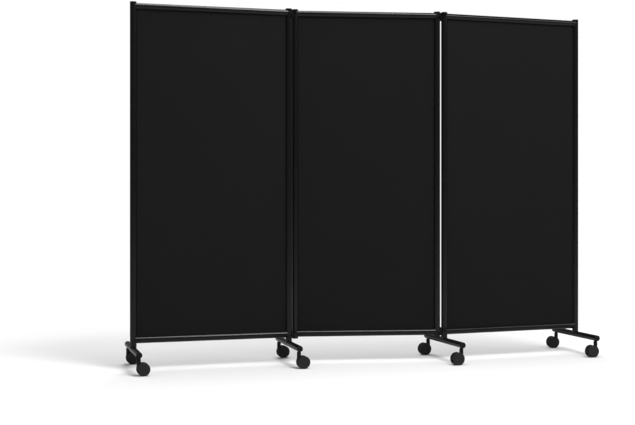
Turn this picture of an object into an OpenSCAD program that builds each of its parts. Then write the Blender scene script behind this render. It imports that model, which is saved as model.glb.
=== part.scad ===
// Rolling partition: three tube-framed panels, two of them on four casters each,
// joined by twin-pivot links so that the set folds flat. The infill sheets hang and stand
// on tongues in slots along the rails.
// Millimetres. Z is up, the floor is z = 0, and the middle panel lies along X.
// The origin is on the floor under the middle of the bounding box.

/* [Overall] */
// Height from the floor to the top of the posts
total_h = 1800; // [1300:5:2200]
// Distance between the post axes of the left and right panels
outer_w = 787; // [500:1:1100]
// Distance between the post axes of the middle panel
middle_w = 737; // [500:1:1100]

/* [Frame tubes] */
// Outside diameter of the posts and rails
tube_d = 32; // [28:0.5:38]
// Wall thickness of the posts and rails
tube_wall = 2; // [1.2:0.1:2.5]
// Depth of the top rail's axis below the top of the posts
top_rail_drop = 22; // [21:0.5:60]
// Height of the bottom rail's axis above the lower ends of the middle posts
bottom_rail_rise = 24; // [22:0.5:60]
// Gap between the middle posts and the feet that pass under them when folded
fold_gap = 7; // [3:0.5:20]
// Thickness of the flat end caps on the posts
cap_t = 2.5; // [1.5:0.1:5]

/* [Infill] */
// Thickness of the infill sheet
sheet_t = 5; // [4:0.5:7]
// Thickness of the tongues along the sheet's top and bottom
tongue_t = 3; // [1.5:0.5:4]
// Depth of the sheet's tongues inside the rails
sheet_seat = 5; // [2:0.5:8]

/* [Feet] */
// Outside diameter of the foot tubes
foot_d = 30; // [26:0.5:40]
// Wall thickness of the foot tubes
foot_wall = 2; // [1.2:0.1:3]
// Length of a foot, with its end caps
foot_len = 425; // [300:1:700]
// Height of the foot tube's axis above the floor
foot_z = 99.5; // [95:0.5:130]
// Thickness of the flat end caps on the feet
foot_cap_t = 3; // [1.5:0.1:6]

/* [Links] */
// Gap between two neighbouring posts
post_gap = 10; // [7:0.5:20]
// Height of one of a link's two storeys
storey_h = 21; // [15:0.5:35]
// Diameter of the pivot pins
pin_d = 8; // [5:0.5:10]
// Thickness of the bushes that hold a pivot pin
bush_t = 2; // [1.5:0.1:6]
// Width of the link's block, front to back
block_d = 14; // [8:0.5:18]
// Width of the neck that passes through the post's window
neck_d = 6; // [4:0.5:7]
// Largest turn of a link to either side of its post
link_swing = 90; // [60:1:90]

/* [Casters] */
// Diameter of the wheels
wheel_d = 63; // [50:0.5:66]
// Thickness of one wheel
wheel_t = 13; // [8:0.5:16]
// Width of a caster over both wheels
caster_w = 40; // [36:0.5:48]
// Distance from the swivel axis to the axle
trail = 21.4; // [15:0.1:26]
// Diameter of the neck on the hood
hood_neck_d = 20; // [16:0.5:24]
// Diameter of the stem
stem_d = 10; // [8:0.5:11]
// Diameter of the axle
axle_d = 6; // [5:0.5:8]
// Distance from the end of the foot to the swivel axis
caster_inset = 19.5; // [16:0.5:60]

/* [Rest pose] */
// Turn of the left panel from the middle panel's line
left_turn = 10.45; // [-60:0.05:60]
// Turn of the right panel from the middle panel's line
right_turn = 13.9; // [-60:0.05:60]
// Turn of the left links from the middle panel's line
left_link_turn = 35; // [-45:0.05:45]
// Turn of the right links from the middle panel's line
right_link_turn = 15; // [-45:0.05:45]

/* [Hidden] */
$fn = 72;
black_paint = [0.11, 0.11, 0.115];
black_sheet = [0.13, 0.13, 0.13];
black_plastic = [0.15, 0.15, 0.155];
zinc = [0.62, 0.63, 0.64];
black_zinc = [0.18, 0.18, 0.185];

run_fit = 0.05;    // radial clearance of a shaft in its hole
tight_fit = 0.02;  // radial clearance of a bush or a nut on its pin
slot_fit = 0.1;    // clearance round the infill sheet and its tongues
pass_fit = 0.3;    // clearance between faces that pass each other
swing_fit = 0.5;   // clearance between a link's block and a post
wheel_fit = 0.7;   // clearance between a wheel and the hood
window_slack = 1.6;  // turn that a window is wider than its neck's sweep, on each side
over = 1;          // how far a cutter reaches past what it cuts

tube_r = tube_d / 2;
tube_in = tube_r - tube_wall;
foot_r = foot_d / 2;
foot_in = foot_r - foot_wall;
foot_end = foot_len / 2;
foot_top = foot_z + foot_r;
foot_low = foot_z - foot_r;
link_c = tube_d + post_gap;

tube_top = total_h - cap_t;
middle_low = foot_top + fold_gap;
middle_tube_low = middle_low + cap_t;
top_rail_z = total_h - top_rail_drop;
bottom_rail_z = middle_low + bottom_rail_rise;
spigot_h = 8;      // how far a cap's spigot reaches into its tube
spigot_wall = 2;
cap_edge = 0.6;    // chamfer round a cap
saddle_lap = 10;   // how far a post's sides reach down round its foot

// The lower edge of each link: under the top caps, and over the bottom ones
link_zs = [middle_tube_low + bush_t, tube_top - bush_t - 2 * storey_h];
barrel_r = tube_in - pass_fit;
window_a = link_swing + asin(neck_d / 2 / tube_in) + window_slack;
window_r = tube_r + over;
window_steps = 24; // straight stretches of a window cutter's rim
seam_a = -90;      // side of the weld seam on a post

caster_reach = foot_end - caster_inset;
wheel_r = wheel_d / 2;
hood_d = caster_w - 2 * (wheel_t + wheel_fit);
hood_r = wheel_r - wheel_fit;
hood_low = wheel_r - 4;      // the hood's lower edge, just under the axle's level
hub_r = axle_d / 2 + 6;      // boss of the hood round the axle
neck_taper = 2.5;            // cone at the top of the neck
collar_t = 2;                // shoulder between a stem and the foot
collar_r = stem_d / 2 + 3;
neck_top = foot_low - collar_t - pass_fit;
stem_low = wheel_r + 8;
stem_tail = 1;               // thread that shows above the nut
nut_r = 9.8;                 // corners of the nut inside the foot
nut_h = 8;
nut_low = foot_z - sqrt(pow(foot_in, 2) - pow(nut_r, 2));
wheel_edge = 1.6;            // rounding of a wheel's edges
wheel_skin = 2.5;            // closed outer face of a wheel, over the axle's end
edge_step = 22.5;            // turn between the points of that rounding

// Rest positions of the post axes, before the origin is centred
function dir(a) = [cos(a), sin(a)];
mid_l = [-middle_w / 2, 0];
mid_r = [middle_w / 2, 0];
left_in = mid_l - link_c * dir(left_link_turn);
left_out = left_in - outer_w * dir(left_turn);
right_in = mid_r + link_c * dir(right_link_turn);
right_out = right_in + outer_w * dir(right_turn);

// Corners of the foot under a post at p on a panel turned by a. They bound the whole set
function foot_corners(p, a) = [for (x = [-foot_r, foot_r], y = [-foot_end, foot_end])
    p + x * dir(a) + y * dir(a + 90)];
all_corners = concat(
    foot_corners(left_out, left_turn), foot_corners(left_in, left_turn),
    foot_corners(right_in, right_turn), foot_corners(right_out, right_turn));
xs = [for (c = all_corners) c[0]];
ys = [for (c = all_corners) c[1]];
centre = [(min(xs) + max(xs)) / 2, (min(ys) + max(ys)) / 2];

// ---- Placing ----

// Each panel's own frame: x from its left post's axis to its right one, z from the floor
module at(p, a) {
    translate([p[0] - centre[0], p[1] - centre[1], 0])
        rotate(a)
            children();
}

module in_left() at(left_out, left_turn) children();
module in_middle() at(mid_l, 0) children();
module in_right() at(right_in, right_turn) children();

// ---- Shapes that repeat ----

module ring(r, r_in, z0, z1) {
    translate([0, 0, z0])
        difference() {
            cylinder(r = r, h = z1 - z0);
            translate([0, 0, -over])
                cylinder(r = r_in, h = z1 - z0 + 2 * over);
        }
}

// Sector that a link's neck sweeps, opening along x, or along -x when side is -1
module window(side, z0) {
    translate([0, 0, z0])
        rotate(side > 0 ? 0 : 180)
            linear_extrude(height = storey_h)
                polygon(concat([[0, 0]],
                    [for (i = [0 : window_steps])
                        window_r * dir(window_a * (2 * i / window_steps - 1))]));
}

// Windows of a hinged post. A post left of its gap has its barrels in the lower storeys
module windows(side) {
    for (z = link_zs)
        window(side, z + (side > 0 ? 0 : storey_h));
}

// Upright slab in a panel w wide, set in from the axes of the posts and of the rails
module slab(w, from_post, from_rail, t) {
    translate([from_post, -t / 2, bottom_rail_z + from_rail])
        cube([w - 2 * from_post, t, top_rail_z - bottom_rail_z - 2 * from_rail]);
}

// Infill sheet between the tubes, with a tongue along its top and bottom for the rails
module infill(w) {
    slab(w, tube_r + slot_fit, tube_r, sheet_t);
    slab(w, tube_r + slot_fit, tube_r - sheet_seat, tongue_t);
}

// Slots for the tongues, from end to end of a panel's rails and right through their walls
module slots(w) {
    slab(w, 0, tube_r - sheet_seat - slot_fit, tongue_t + 2 * slot_fit);
}

// Post with its axis at x. side says which way its gap lies, and is 0 without a gap
module post(x, side, on_foot) {
    low = on_foot ? foot_top - saddle_lap : middle_tube_low;
    translate([x, 0, 0])
        difference() {
            rotate(seam_a)
                ring(tube_r, tube_in, low, tube_top);
            if (on_foot)
                foot_cutter();
            if (side != 0)
                windows(side);
        }
}

// The room that the foot takes, across the post's lower end
module foot_cutter() {
    translate([0, 0, foot_z])
        rotate([90, 0, 0])
            cylinder(r = foot_r, h = 2 * tube_d, center = true);
}

// Rail between post axes at x = 0 and x = w, notched to the posts
module rail(w, z, left_gap, right_gap) {
    difference() {
        translate([0, 0, z])
            rotate([0, 90, 0])
                difference() {
                    cylinder(r = tube_r, h = w);
                    translate([0, 0, -over])
                        cylinder(r = tube_in, h = w + 2 * over);
                }
        for (x = [0, w])
            translate([x, 0, z - tube_d])
                cylinder(r = tube_r, h = 2 * tube_d);
        slots(w);
        if (left_gap)
            windows(-1);
        if (right_gap)
            translate([w, 0, 0])
                windows(1);
    }
}

// Foot tube across the panel under a post
module foot() {
    difference() {
        translate([0, foot_end - foot_cap_t, foot_z])
            rotate([90, 0, 0])
                difference() {
                    cylinder(r = foot_r, h = foot_len - 2 * foot_cap_t);
                    translate([0, 0, -over])
                        cylinder(r = foot_in, h = foot_len + 2 * over);
                }
        for (y = [-caster_reach, caster_reach])
            translate([0, y, foot_low - over])
                cylinder(r = stem_d / 2, h = foot_r);
    }
}

// Flat cap on z = 0 with its spigot below, on a tube of outer radius r and bore r_in
module cap(r, r_in, t, spigot) {
    rotate_extrude()
        polygon([[0, 0], [r, 0], [r, t - cap_edge], [r - cap_edge, t], [0, t]]);
    if (spigot)
        ring(r_in, r_in - spigot_wall, -spigot_h, 0);
}

module top_cap(spigot) {
    translate([0, 0, tube_top])
        cap(tube_r, tube_in, cap_t, spigot);
}

module bottom_cap(spigot) {
    translate([0, 0, middle_tube_low])
        rotate([180, 0, 0])
            cap(tube_r, tube_in, cap_t, spigot);
}

module foot_caps() {
    for (side = [0, 180])
        rotate(side)
            translate([0, foot_cap_t - foot_end, foot_z])
                rotate([90, 0, 0])
                    cap(foot_r, foot_in, foot_cap_t, true);
}

// Pin and the bush at each of its ends, in a storey that starts at z0
module pivot(z0) {
    translate([0, 0, z0 - bush_t])
        cylinder(r = pin_d / 2, h = storey_h + 2 * bush_t);
    for (z = [z0 - bush_t, z0 + storey_h])
        ring(tube_in, pin_d / 2 + tight_fit, z, z + bush_t);
}

module pivots(side) {
    for (z = link_zs)
        pivot(z + (side > 0 ? 0 : storey_h));
}

// Stem with its shoulder, and the nut on it, with the swivel axis at the origin
module stem() {
    translate([0, 0, stem_low])
        cylinder(r = stem_d / 2, h = nut_low + nut_h + stem_tail - stem_low);
    translate([0, 0, foot_low - collar_t])
        cylinder(r = collar_r, h = collar_t);
    difference() {
        translate([0, 0, nut_low])
            cylinder(r = nut_r, h = nut_h, $fn = 6);
        translate([0, 0, nut_low - over])
            cylinder(r = stem_d / 2 + tight_fit, h = nut_h + 2 * over);
    }
}

// Places a caster's pieces: swivel axis at the origin, trailing along x
module on_axle() {
    translate([trail, 0, wheel_r])
        rotate([90, 0, 0])
            children();
}

// Half disc between the wheels, with the axle's boss and the neck that turns on the stem
module hood() {
    neck_r = hood_neck_d / 2;
    taper_low = neck_top - neck_taper;
    difference() {
        union() {
            translate([0, 0, hood_low])
                cylinder(r = neck_r, h = taper_low - hood_low);
            translate([0, 0, taper_low])
                cylinder(r1 = neck_r, r2 = neck_r - neck_taper, h = neck_taper);
            difference() {
                on_axle()
                    cylinder(r = hood_r, h = hood_d, center = true);
                translate([trail - wheel_d, -hood_d, -over])
                    cube([2 * wheel_d, 2 * hood_d, hood_low + over]);
            }
            on_axle()
                cylinder(r = hub_r, h = hood_d, center = true);
        }
        for (side = [-1, 1])
            translate([0, side * (hood_d + wheel_d) / 2, 0])
                on_axle()
                    cylinder(r = wheel_r + wheel_fit, h = wheel_d, center = true);
        translate([0, 0, stem_low - pass_fit])
            cylinder(r = stem_d / 2 + run_fit, h = neck_top);
        on_axle()
            cylinder(r = axle_d / 2, h = caster_w, center = true);
    }
}

module axle() {
    on_axle()
        cylinder(r = axle_d / 2, h = caster_w - 2 * wheel_skin - 2 * pass_fit, center = true);
}

// Wheel turned round z, outer face up at z = 0
module wheel() {
    e = wheel_edge;
    bore = axle_d / 2 + run_fit;
    rotate_extrude()
        polygon(concat([[0, 0]],
            [for (a = [90 : -edge_step : 0]) [wheel_r - e, -e] + e * dir(a)],
            [for (a = [0 : -edge_step : -90]) [wheel_r - e, e - wheel_t] + e * dir(a)],
            [[bore, -wheel_t], [bore, -wheel_skin], [0, -wheel_skin]]));
}

module wheels() {
    on_axle()
        for (flip = [0, 180])
            rotate([flip, 0, 0])
                translate([0, 0, caster_w / 2])
                    wheel();
}

// Link from the left post's axis at the origin to the right one at x = link_c
module link(z0) {
    mid = z0 + storey_h;
    block_w = post_gap - 2 * swing_fit;
    neck_h = storey_h - 2 * pass_fit;
    neck_len = tube_r + swing_fit + block_w / 2;
    difference() {
        union() {
            for (end = [0, 1])
                translate([end * link_c, 0, end == 0 ? z0 + pass_fit : mid + pass_fit]) {
                    cylinder(r = barrel_r, h = neck_h);
                    translate([end == 0 ? 0 : -neck_len, -neck_d / 2, 0])
                        cube([neck_len, neck_d, neck_h]);
                }
            translate([tube_r + swing_fit, -block_d / 2, z0 + pass_fit])
                cube([block_w, block_d, 2 * storey_h - 2 * pass_fit]);
        }
        for (x = [0, link_c])
            translate([x, 0, z0 - over])
                cylinder(r = pin_d / 2 + run_fit, h = 2 * storey_h + 2 * over);
    }
}

module left_link(i) color(black_plastic) at(left_in, left_link_turn) link(link_zs[i]);
module right_link(i) color(black_plastic) at(mid_r, right_link_turn) link(link_zs[i]);

// Casters 1 to 4 are on the left panel and 5 to 8 on the right one, front one first
// on each foot. They trail towards the middle of the partition
module at_caster(i) {
    on_left = i <= 4;
    y = i % 2 == 1 ? -caster_reach : caster_reach;
    outer = i <= 2 || i >= 7;
    x = on_left == outer ? 0 : outer_w;
    at(on_left ? left_out : right_in, on_left ? left_turn : right_turn)
        translate([x, y, 0])
            rotate(on_left ? 0 : 180)
                children();
}

module caster_hood(i) color(black_plastic) at_caster(i) hood();
module caster_axle(i) color(zinc) at_caster(i) axle();
module caster_wheels(i) color(black_plastic) at_caster(i) wheels();

// ---- Left panel ----

module left_outer_post() color(black_paint) in_left() post(0, 0, true);
module left_inner_post() color(black_paint) in_left() post(outer_w, 1, true);
module left_top_rail() color(black_paint) in_left() rail(outer_w, top_rail_z, false, true);
module left_bottom_rail() color(black_paint) in_left() rail(outer_w, bottom_rail_z, false, true);
module left_infill() color(black_sheet) in_left() infill(outer_w);
module left_outer_foot() color(black_paint) in_left() foot();
module left_inner_foot() color(black_paint) in_left() translate([outer_w, 0, 0]) foot();

module left_end_caps() {
    color(black_plastic)
        in_left()
            for (x = [0, outer_w])
                translate([x, 0, 0]) {
                    top_cap(true);
                    foot_caps();
                }
}

module left_pivot_pins() color(zinc) in_left() translate([outer_w, 0, 0]) pivots(1);

module left_caster_stems() {
    color(black_zinc)
        for (i = [1 : 4])
            at_caster(i)
                stem();
}

// ---- Middle panel ----

module middle_left_post() color(black_paint) in_middle() post(0, -1, false);
module middle_right_post() color(black_paint) in_middle() post(middle_w, 1, false);
module middle_top_rail() color(black_paint) in_middle() rail(middle_w, top_rail_z, true, true);
module middle_bottom_rail() color(black_paint) in_middle() rail(middle_w, bottom_rail_z, true, true);
module middle_infill() color(black_sheet) in_middle() infill(middle_w);

module middle_end_caps() {
    color(black_plastic)
        in_middle() {
            top_cap(false);
            bottom_cap(true);
            translate([middle_w, 0, 0]) {
                top_cap(true);
                bottom_cap(false);
            }
        }
}

module middle_pivot_pins() {
    color(zinc)
        in_middle() {
            pivots(-1);
            translate([middle_w, 0, 0])
                pivots(1);
        }
}

// ---- Right panel ----

module right_inner_post() color(black_paint) in_right() post(0, -1, true);
module right_outer_post() color(black_paint) in_right() post(outer_w, 0, true);
module right_top_rail() color(black_paint) in_right() rail(outer_w, top_rail_z, true, false);
module right_bottom_rail() color(black_paint) in_right() rail(outer_w, bottom_rail_z, true, false);
module right_infill() color(black_sheet) in_right() infill(outer_w);
module right_inner_foot() color(black_paint) in_right() foot();
module right_outer_foot() color(black_paint) in_right() translate([outer_w, 0, 0]) foot();

module right_end_caps() {
    color(black_plastic)
        in_right()
            for (x = [0, outer_w])
                translate([x, 0, 0]) {
                    top_cap(x > 0);
                    foot_caps();
                }
}

module right_pivot_pins() color(zinc) in_right() pivots(-1);

module right_caster_stems() {
    color(black_zinc)
        for (i = [5 : 8])
            at_caster(i)
                stem();
}

// ---- Nodes ----

left_outer_post();
left_inner_post();
left_top_rail();
left_bottom_rail();
left_infill();
left_end_caps();
left_outer_foot();
left_inner_foot();
left_pivot_pins();
left_caster_stems();
middle_left_post();
middle_right_post();
middle_top_rail();
middle_bottom_rail();
middle_infill();
middle_end_caps();
middle_pivot_pins();
right_inner_post();
right_outer_post();
right_top_rail();
right_bottom_rail();
right_infill();
right_end_caps();
right_inner_foot();
right_outer_foot();
right_pivot_pins();
right_caster_stems();
left_link(0);  // left_link_lower
left_link(1);  // left_link_upper
right_link(0);  // right_link_lower
right_link(1);  // right_link_upper
for (i = [1 : 8]) {
    caster_hood(i);
    caster_axle(i);
    caster_wheels(i);
}
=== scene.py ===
import math

import bpy
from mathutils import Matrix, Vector


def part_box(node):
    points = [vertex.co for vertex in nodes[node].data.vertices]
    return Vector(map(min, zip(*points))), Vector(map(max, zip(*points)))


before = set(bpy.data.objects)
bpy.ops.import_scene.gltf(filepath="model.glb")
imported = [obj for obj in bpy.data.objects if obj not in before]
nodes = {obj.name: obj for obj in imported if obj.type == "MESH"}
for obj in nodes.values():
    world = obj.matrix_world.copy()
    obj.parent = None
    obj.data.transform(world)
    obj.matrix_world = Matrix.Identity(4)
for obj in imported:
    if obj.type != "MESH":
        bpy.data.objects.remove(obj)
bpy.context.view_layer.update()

# ---- Camera ----
# It stands in front of the set at elbow height and looks level, turned a little from the
# middle panel's own line. The shift lowers the frame to take in the floor.

sheet_low, sheet_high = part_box("middle_infill")
set_middle = (sheet_low + sheet_high) / 2
camera_back = Vector((-0.892, -5.9005, 0))
camera_height = 0.8925
camera_turn = math.radians(-6.18)
level = math.radians(90)
picture_width = 635
focal_pixels = 1160.2
horizon_above_middle = 25.2

camera = bpy.data.objects.new("camera", bpy.data.cameras.new("camera"))
bpy.context.scene.collection.objects.link(camera)
bpy.context.scene.camera = camera
camera.location = (set_middle.x + camera_back.x, set_middle.y + camera_back.y, camera_height)
camera.rotation_euler = (level, 0, camera_turn)
camera.data.lens = focal_pixels / picture_width * camera.data.sensor_width
camera.data.shift_y = -horizon_above_middle / picture_width
bpy.context.scene.view_settings.view_transform = "Standard"

# ---- Room and light ----
# A white floor that runs out into a white background. Four soft lamps stand in an arc in
# front on the right, from high to low, and three more hang over the set from front to back.
# The last of these only fills the shadow, and gloss doesn't see it.


class Socket:
    """A socket of a shader, so that sums on shader values are written as Python sums."""

    def __init__(self, tree, socket=None):
        self.tree = tree
        self.socket = socket

    def node(self, kind, settings=None, sockets=None, out=0):
        """Adds a node, sets it up, feeds its sockets and gives one of its outputs."""
        made = self.tree.nodes.new(kind)
        for name, value in (settings or {}).items():
            setattr(made, name, value)
        for name, value in (sockets or {}).items():
            if isinstance(value, Socket):
                self.tree.links.new(value.socket, made.inputs[name])
            else:
                made.inputs[name].default_value = value
        return Socket(self.tree, made.outputs[out])

    def maths(self, operation, first, second):
        return self.node("ShaderNodeMath", {"operation": operation}, {0: first, 1: second})

    def __add__(self, other):
        return self.maths("ADD", self, other)

    def __rsub__(self, other):
        return self.maths("SUBTRACT", other, self)

    def __mul__(self, other):
        return self.maths("MULTIPLY", self, other)

    def ramp(self, start, end, low, high):
        """Runs smoothly from low to high while this value goes from start to end."""
        return self.node("ShaderNodeMapRange", {"interpolation_type": "SMOOTHSTEP"}, {
            "Value": self, "From Min": start, "From Max": end, "To Min": low, "To Max": high})


# The room is white to the camera. Gloss sees it dim, a little brighter behind the set, and
# it adds a little even light. The ramp runs over the depth of a ray's direction.
room_light = 0.49
gloss_front, front_ends = 0.08, -0.1
gloss_behind, behind_begins = 0.14, 0.7

world = bpy.data.worlds.new("room")
bpy.context.scene.world = world
world.use_nodes = True
room = Socket(world.node_tree)
seen = room.node("ShaderNodeLightPath", out="Is Camera Ray")
in_gloss = room.node("ShaderNodeLightPath", out="Is Glossy Ray")
heading = room.node("ShaderNodeTexCoord", out="Generated")
heading_depth = room.node("ShaderNodeSeparateXYZ", sockets={0: heading}, out="Y")
gloss_light = heading_depth.ramp(front_ends, behind_begins, gloss_front, gloss_behind)
unseen_light = in_gloss * gloss_light + (1 - in_gloss) * room_light
strength = seen + (1 - seen) * unseen_light
background = next(n for n in world.node_tree.nodes if n.type == "BACKGROUND")
background.inputs["Color"].default_value = (1, 1, 1, 1)
world.node_tree.links.new(strength.socket, background.inputs["Strength"])

floor_half = 40
corners = ((-1, -1), (1, -1), (1, 1), (-1, 1))
floor_mesh = bpy.data.meshes.new("floor")
floor_mesh.from_pydata(
    [(x * floor_half, y * floor_half, 0) for x, y in corners], [], [(0, 1, 2, 3)])
floor = bpy.data.objects.new("floor", floor_mesh)
bpy.context.scene.collection.objects.link(floor)

# Away from the set the floor turns into the white of the background, to the camera alone.
# Gloss sees the floor half as bright, and the room darker still.
floor_grey = (0.8, 0.8, 0.8, 1)
floor_roughness = 0.9
floor_ends = 1.7
white_begins = 2.4
gloss_loss = 0.5

floor_paint = bpy.data.materials.new("floor_white")
floor_paint.use_nodes = True
shader = floor_paint.node_tree.nodes["Principled BSDF"]
shader.inputs["Base Color"].default_value = floor_grey
shader.inputs["Roughness"].default_value = floor_roughness
shader.inputs["Specular IOR Level"].default_value = 0.0
painted = Socket(floor_paint.node_tree, shader.outputs["BSDF"])
spot = painted.node("ShaderNodeTexCoord", out="Object")
reach = spot.node("ShaderNodeVectorMath", {"operation": "LENGTH"}, {0: spot}, out="Value")
far_off = reach.ramp(floor_ends, white_begins, 0.0, 1.0)
seen = painted.node("ShaderNodeLightPath", out="Is Camera Ray")
in_gloss = painted.node("ShaderNodeLightPath", out="Is Glossy Ray")
white = painted.node("ShaderNodeEmission", sockets={"Color": (1, 1, 1, 1), "Strength": 1.0})
unlit = painted.node("ShaderNodeBsdfDiffuse", sockets={"Color": (0, 0, 0, 1)})
dimmed = painted.node(
    "ShaderNodeMixShader", sockets={0: in_gloss * gloss_loss, 1: painted, 2: unlit})
blend = painted.node("ShaderNodeMixShader", sockets={0: seen * far_off, 1: dimmed, 2: white})
surface = floor_paint.node_tree.nodes["Material Output"].inputs["Surface"]
floor_paint.node_tree.links.new(blend.socket, surface)
floor.data.materials.append(floor_paint)


def add_lamp(name, power, size, place, target):
    lamp = bpy.data.objects.new(name, bpy.data.lights.new(name, "AREA"))
    bpy.context.scene.collection.objects.link(lamp)
    lamp.data.shape = "RECTANGLE"
    lamp.data.size, lamp.data.size_y = size
    lamp.data.energy = power
    lamp.location = place
    lamp.rotation_euler = (Vector(target) - Vector(place)).to_track_quat("-Z", "Y").to_euler()
    return lamp


front_size = (2.0, 2.0)
over_size = (1.6, 1.8)
aim = (0, 0, 1)
add_lamp("front_high", 69, front_size, (1.14, -2.83, 6.74), aim)
add_lamp("front_main", 147, front_size, (2.12, -3.39, 6.12), aim)
add_lamp("front_low", 59, front_size, (3.46, -3.58, 5.18), aim)
add_lamp("side", 37, front_size, (5.14, -2.29, 4.25), aim)
add_lamp("over_front", 68, over_size, (0, -0.6, 5.5), (0, -0.6, 0))
add_lamp("over_left", 75, over_size, (-0.8, 0.4, 5.5), (-0.8, 0.4, 0))
over_back = add_lamp("over_back", 80, over_size, (0, 3.0, 5.5), (0, 3.0, 0))
over_back.visible_glossy = False

# ---- Frame ----
# Posts, rails and feet are round steel tubes, coped to each other and welded. All of it has
# one satin black powder coat, which flows out to a faint orange peel. On the posts its film
# shows as thickness, and it closes the sight line between the left panel and the middle one.


def new_material(name, specular, metallic=0.0):
    """A material, its shader, and the place on the object, from which its patterns start."""
    material = bpy.data.materials.new(name)
    material.use_nodes = True
    shader = material.node_tree.nodes["Principled BSDF"]
    shader.inputs["Specular IOR Level"].default_value = specular
    shader.inputs["Metallic"].default_value = metallic
    place = Socket(material.node_tree).node("ShaderNodeTexCoord", out="Object")
    return material, shader, place


def noise(place, scale, detail, roughness=0.5):
    """A cloudy pattern from 0 to 1. The scale is the number of its clouds to a metre."""
    return place.node("ShaderNodeTexNoise", sockets={
        "Vector": place, "Scale": scale, "Detail": detail, "Roughness": roughness})


def spread(pattern, low, high):
    """Noise values lie around a half. This spreads them from low to high."""
    noise_low, noise_high = 0.35, 0.65
    return pattern.ramp(noise_low, noise_high, low, high)


def feed(shader, name, value):
    shader.id_data.links.new(value.socket, shader.inputs[name])


def tint(shader, pattern, dark, light):
    """The colour goes from dark to light with a pattern from 0 to 1."""
    feed(shader, "Base Color", pattern.node("ShaderNodeMix", {"data_type": "RGBA"}, {
        "Factor": pattern, "A": (*dark, 1), "B": (*light, 1)}, out="Result"))


def roughen(shader, pattern, low, high):
    """The roughness goes from low to high with a noise pattern."""
    shader.inputs["Roughness"].default_value = (low + high) / 2
    feed(shader, "Roughness", spread(pattern, low, high))


def emboss(shader, pattern, depth):
    """A bump whose full height is depth metres."""
    feed(shader, "Normal", pattern.node("ShaderNodeBump", sockets={
        "Strength": 1.0, "Distance": depth, "Height": pattern}, out="Normal"))


def dress(endings, material):
    """Gives the material to every node whose name has one of these endings."""
    for name, piece in nodes.items():
        if name.endswith(endings):
            piece.data.materials.clear()
            piece.data.materials.append(material)


coat_dark = (0.0046, 0.0046, 0.0048)
coat_light = (0.0062, 0.0062, 0.0063)
peel_depth = 0.00003
film = 0.00012

powder_coat, shader, place = new_material("black_powder_coat", specular=0.35)
tint(shader, noise(place, scale=9.0, detail=3.0), coat_dark, coat_light)
roughen(shader, noise(place, scale=35.0, detail=4.0), low=0.19, high=0.25)
emboss(shader, noise(place, scale=420.0, detail=1.0), peel_depth)
dress(("_post", "_rail", "_foot"), powder_coat)

for name, piece in nodes.items():
    if name.endswith("_post"):
        layer = piece.modifiers.new("powder_film", "DISPLACE")
        layer.strength = film
        layer.mid_level = 0.0

# ---- Infill ----
# Plain stiff sheets with a matt black face, pressed with a fine pebble grain that takes
# away the shine. They stand on tongues in the slots of the rails.

sheet_dark = (0.0088, 0.0088, 0.0088)
sheet_light = (0.0102, 0.0102, 0.0102)
pebbles_to_a_metre = 900.0
pebble_softness = 0.6
pebble_depth = 0.00006

sheet_face, shader, place = new_material("matt_black_sheet", specular=0.05)
tint(shader, noise(place, scale=3.0, detail=4.0), sheet_dark, sheet_light)
roughen(shader, noise(place, scale=60.0, detail=3.0), low=0.58, high=0.68)
pebbles = place.node(
    "ShaderNodeTexVoronoi", {"feature": "SMOOTH_F1"},
    {"Vector": place, "Scale": pebbles_to_a_metre, "Smoothness": pebble_softness},
    out="Distance")
emboss(shader, pebbles, pebble_depth)
dress("_infill", sheet_face)

# ---- End caps ----
# Moulded black plugs, pressed into the open ends of the posts and feet. Their faces have a
# fine spark-eroded grain from the mould.


def moulded(name, dark, light, roughness, specular):
    """Moulded plastic: uneven tone and shine in patches of a centimetre, and a fine grain."""
    uneven = 0.05
    grain_depth = 0.00002
    material, shader, place = new_material(name, specular)
    tint(shader, noise(place, scale=70.0, detail=3.0), dark, light)
    rub = noise(place, scale=240.0, detail=3.0, roughness=0.6)
    roughen(shader, rub, roughness - uneven, roughness + uneven)
    emboss(shader, noise(place, scale=1500.0, detail=1.0), grain_depth)
    return material


cap_plastic = moulded(
    "black_cap_plastic", dark=(0.0060, 0.0060, 0.0060), light=(0.0080, 0.0080, 0.0081),
    roughness=0.55, specular=0.2)
dress("_end_caps", cap_plastic)

# ---- Links ----
# Blocks of black nylon in the gaps between the panels. A neck and a barrel run from each
# block into the window of either post.

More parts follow.
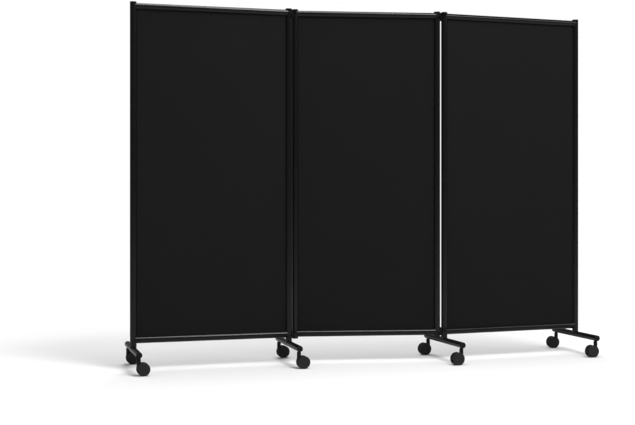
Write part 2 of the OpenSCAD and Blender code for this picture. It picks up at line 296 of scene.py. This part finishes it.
# Their colour is set near pure black, darker than the nylon's own, to paint the deep shade that
# falls on the blocks in the gaps.
link_nylon_painted_shade = moulded(
    "black_link_nylon", dark=(0.0010, 0.0010, 0.0010), light=(0.0016, 0.0016, 0.0016),
    roughness=0.28, specular=0.35)
dress(("_link_lower", "_link_upper"), link_nylon_painted_shade)

# ---- Pins and axles ----
# Turned steel with a thin bright zinc plating, which has a patchy sheen and fine marks from
# the lathe. The pins carry the links and stand in bushes, and the axles carry the wheels.


def plated(name, dark, light, dull, shiny):
    """Turned and plated steel: a patchy sheen from dull to shiny, over rings from the lathe."""
    ring_squeeze = (60.0, 60.0, 2600.0)
    ring_depth = 0.00001
    material, shader, place = new_material(name, specular=0.5, metallic=1.0)
    bloom = noise(place, scale=180.0, detail=3.0, roughness=0.6)
    tint(shader, spread(bloom, low=0.0, high=1.0), dark, light)
    roughen(shader, bloom, dull, shiny)
    squeezed = place.node(
        "ShaderNodeVectorMath", {"operation": "MULTIPLY"}, {0: place, 1: ring_squeeze})
    emboss(shader, noise(squeezed, scale=1.0, detail=1.0), ring_depth)
    return material


bright_zinc = plated(
    "bright_zinc", dark=(0.50, 0.51, 0.53), light=(0.62, 0.62, 0.63), dull=0.40, shiny=0.26)
dress(("_pins", "_axle"), bright_zinc)

# ---- Caster stems ----
# Turned steel stems with a shoulder under the foot and a nut inside it, zinc plated and
# passivated black, so that they don't show against the casters.

black_zinc = plated(
    "black_zinc", dark=(0.016, 0.016, 0.017), light=(0.026, 0.026, 0.028), dull=0.50,
    shiny=0.36)
dress("_caster_stems", black_zinc)

# ---- Casters ----
# Twin wheels of hard black plastic with plain outer faces, either side of a half-disc hood
# that is moulded in one with its neck. The wheels are the paler and duller of the two.

hood_plastic = moulded(
    "black_hood_plastic", dark=(0.0080, 0.0080, 0.0081), light=(0.0105, 0.0105, 0.0106),
    roughness=0.5, specular=0.2)
dress("_hood", hood_plastic)

wheel_plastic = moulded(
    "black_wheel_plastic", dark=(0.0195, 0.0195, 0.0198), light=(0.0240, 0.0240, 0.0243),
    roughness=0.68, specular=0.12)
dress("_wheels", wheel_plastic)
